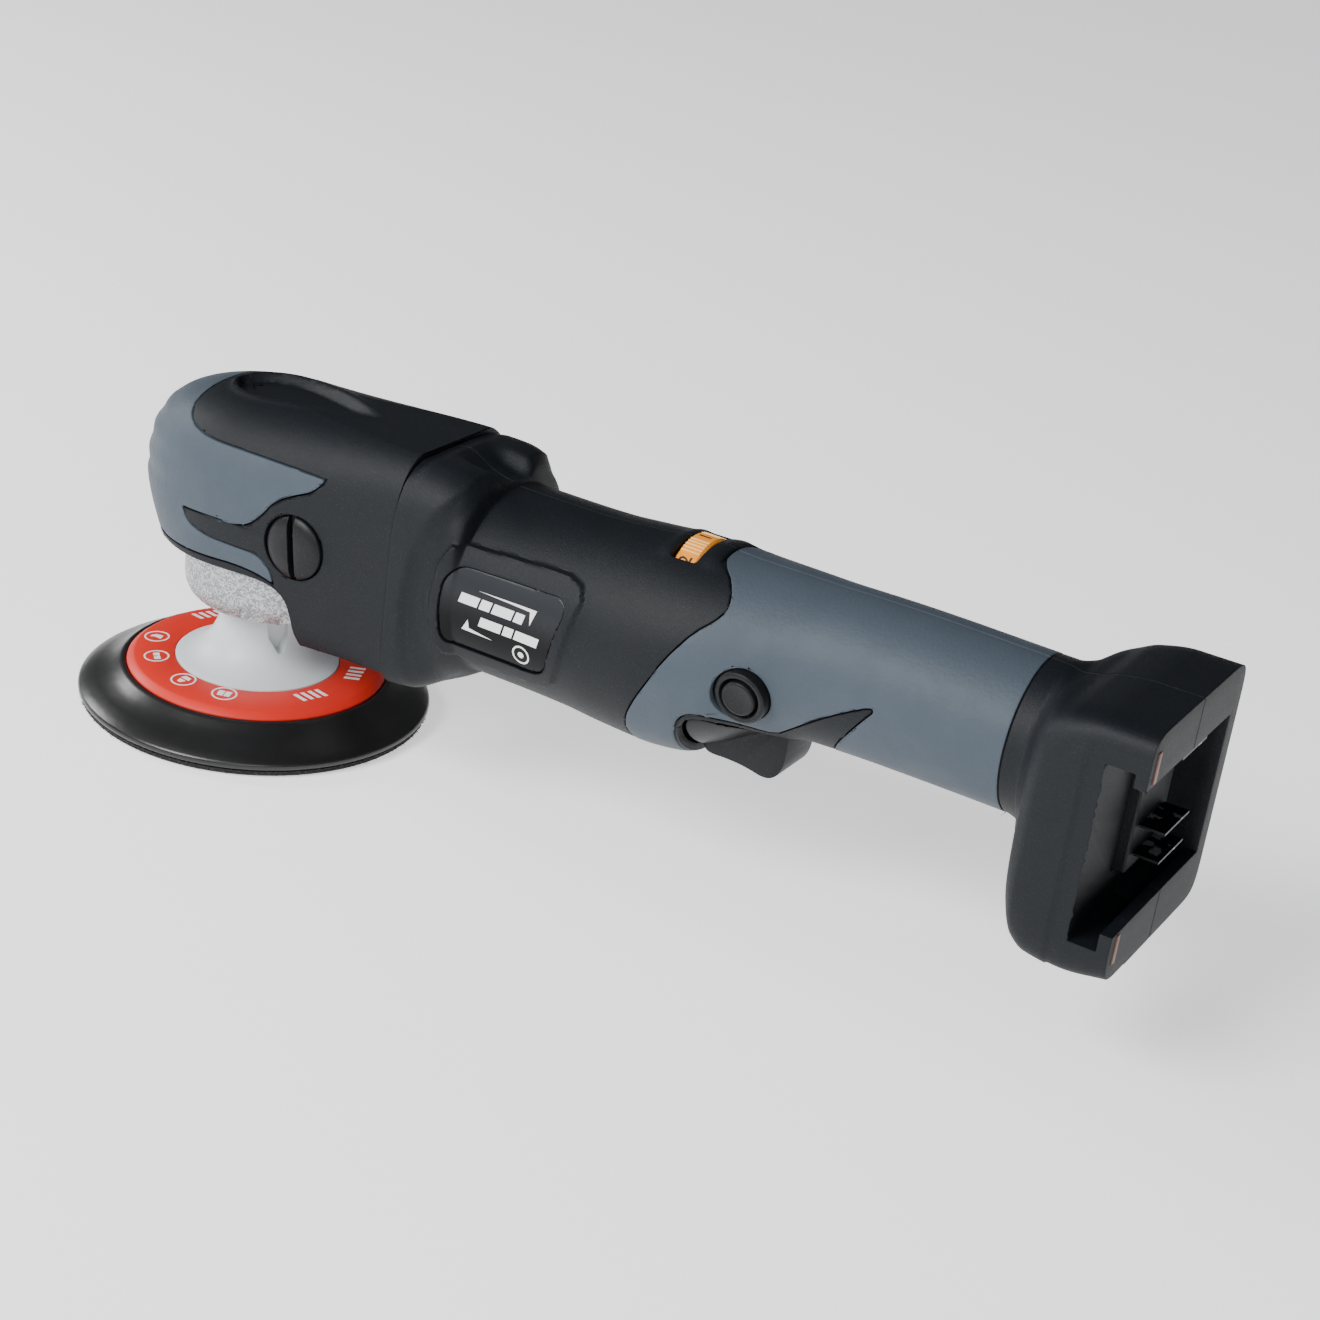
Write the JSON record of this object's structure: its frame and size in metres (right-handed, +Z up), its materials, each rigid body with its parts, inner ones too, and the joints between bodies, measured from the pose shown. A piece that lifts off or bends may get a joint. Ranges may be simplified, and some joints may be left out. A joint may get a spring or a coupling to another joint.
{
  "type": "cordless dual action polisher",
  "caption": "Cordless orbital polisher: round backing pad under a silver gear case, black head with grey bumper, rubber-covered grip, paddle trigger, speed dial and slide-on battery foot.",
  "frame": {"origin": "on the spindle axis, in the plane of the pad's working face", "axes": "+X from the spindle back along the handle to the battery foot, +Z up from the pad's working face along the spindle, +Y to the right of a user who holds the grip and looks towards the head"},
  "size_m": [0.4009, 0.125, 0.121],
  "materials": {
    "black_plastic": "satin, fine moulded grain",
    "silver_alloy": "fine sparkling cast surface",
    "steel": "ground and polished",
    "grey_rubber": "soft-touch, fine leather-like grain",
    "light_grey_plastic": "satin",
    "red_plastic": "satin, bevelled edge",
    "pad_rubber": "smooth, semi-gloss moulded urethane",
    "hook_fabric": "short hook pile",
    "gloss_black_plastic": "high gloss",
    "orange_plastic": "satin, knurled rim",
    "copper": "bare copper alloy",
    "board": "electrical moulding and board"
  },
  "bodies": {
    "housing": {"head_cover": "black_plastic", "side_plug_left": "black_plastic", "side_plug_right": "black_plastic", "housing_left": "black_plastic", "housing_right": "black_plastic", "lock_button_ring": "black_plastic", "terminal_block": "black_plastic", "gear_case": "silver_alloy", "gear_case_flange": "silver_alloy", "bearing_plate": "silver_alloy", "motor_end_bell": "silver_alloy", "cover_screw": "steel", "spindle_upper_bearing": "steel", "spindle_lower_bearing": "steel", "motor_front_bearing": "steel", "motor_rear_bearing": "steel", "housing_screw_1": "steel", "housing_screw_2": "steel", "housing_screw_3": "steel", "housing_screw_4": "steel", "housing_screw_5": "steel", "housing_screw_6": "steel", "trigger_pin": "steel", "trigger_spring": "steel", "bumper": "grey_rubber", "grip_left": "grey_rubber", "grip_right": "grey_rubber", "badge_left": "gloss_black_plastic", "badge_right": "gloss_black_plastic", "stator": "copper", "terminal_blade_signal": "copper", "terminal_blade_positive": "copper", "terminal_blade_negative": "copper", "rail_clip_top": "copper", "rail_clip_bottom": "copper", "trigger_switch": "board", "speed_regulator": "board", "control_board": "board"},
    "spindle": {"spindle": "steel", "crown_gear": "steel", "counterweight": "silver_alloy", "pad_bearing_lower": "steel", "pad_bearing_upper": "steel"},
    "pad": {"pad_arbor": "steel", "pad_hub": "light_grey_plastic", "pad_ring": "red_plastic", "pad_body": "pad_rubber", "hook_disc": "hook_fabric", "pad_washer": "steel", "pad_screw": "steel"},
    "motor": {"motor_shaft": "steel", "pinion": "steel", "rotor": "steel", "fan": "black_plastic"},
    "trigger": {"trigger": "black_plastic"},
    "lock_button": {"lock_button": "black_plastic", "lock_spring": "steel"},
    "dial": {"speed_dial": "orange_plastic"}
  },
  "joints": [
    {"name": "spindle_spin", "type": "hinge", "parent": "housing", "child": "spindle", "pos_m": [0, 0, 0.08], "axis": [0, 0, 1], "continuous": true},
    {"name": "pad_spin", "type": "hinge", "parent": "spindle", "child": "pad", "pos_m": [-0.006, 0, 0.04], "axis": [0, 0, 1], "continuous": true},
    {"name": "motor_spin", "type": "hinge", "parent": "housing", "child": "motor", "pos_m": [0.1, 0, 0.0805], "axis": [1, 0, 0], "continuous": true},
    {"name": "trigger_pull", "type": "hinge", "parent": "housing", "child": "trigger", "pos_m": [0.184, 0, 0.066], "axis": [0, -1, 0], "range_deg": [0, 6.5], "stiffness_Nm_per_rad": 1.2, "springref_deg": -8.59},
    {"name": "lock_button_press", "type": "slide", "parent": "housing", "child": "lock_button", "axis": [0, 0.9848, 0.1736], "range_m": [0, 0.003], "stiffness_N_per_m": 400, "springref_m": -0.002},
    {"name": "speed_dial_turn", "type": "hinge", "parent": "housing", "child": "dial", "pos_m": [0.1655, 0, 0.1008], "axis": [1, 0, 0], "range_deg": [-25, 250]}
  ],
  "couplings": [
    {"joint": "motor_spin", "follows": "spindle_spin", "ratio": 3}
  ]
}
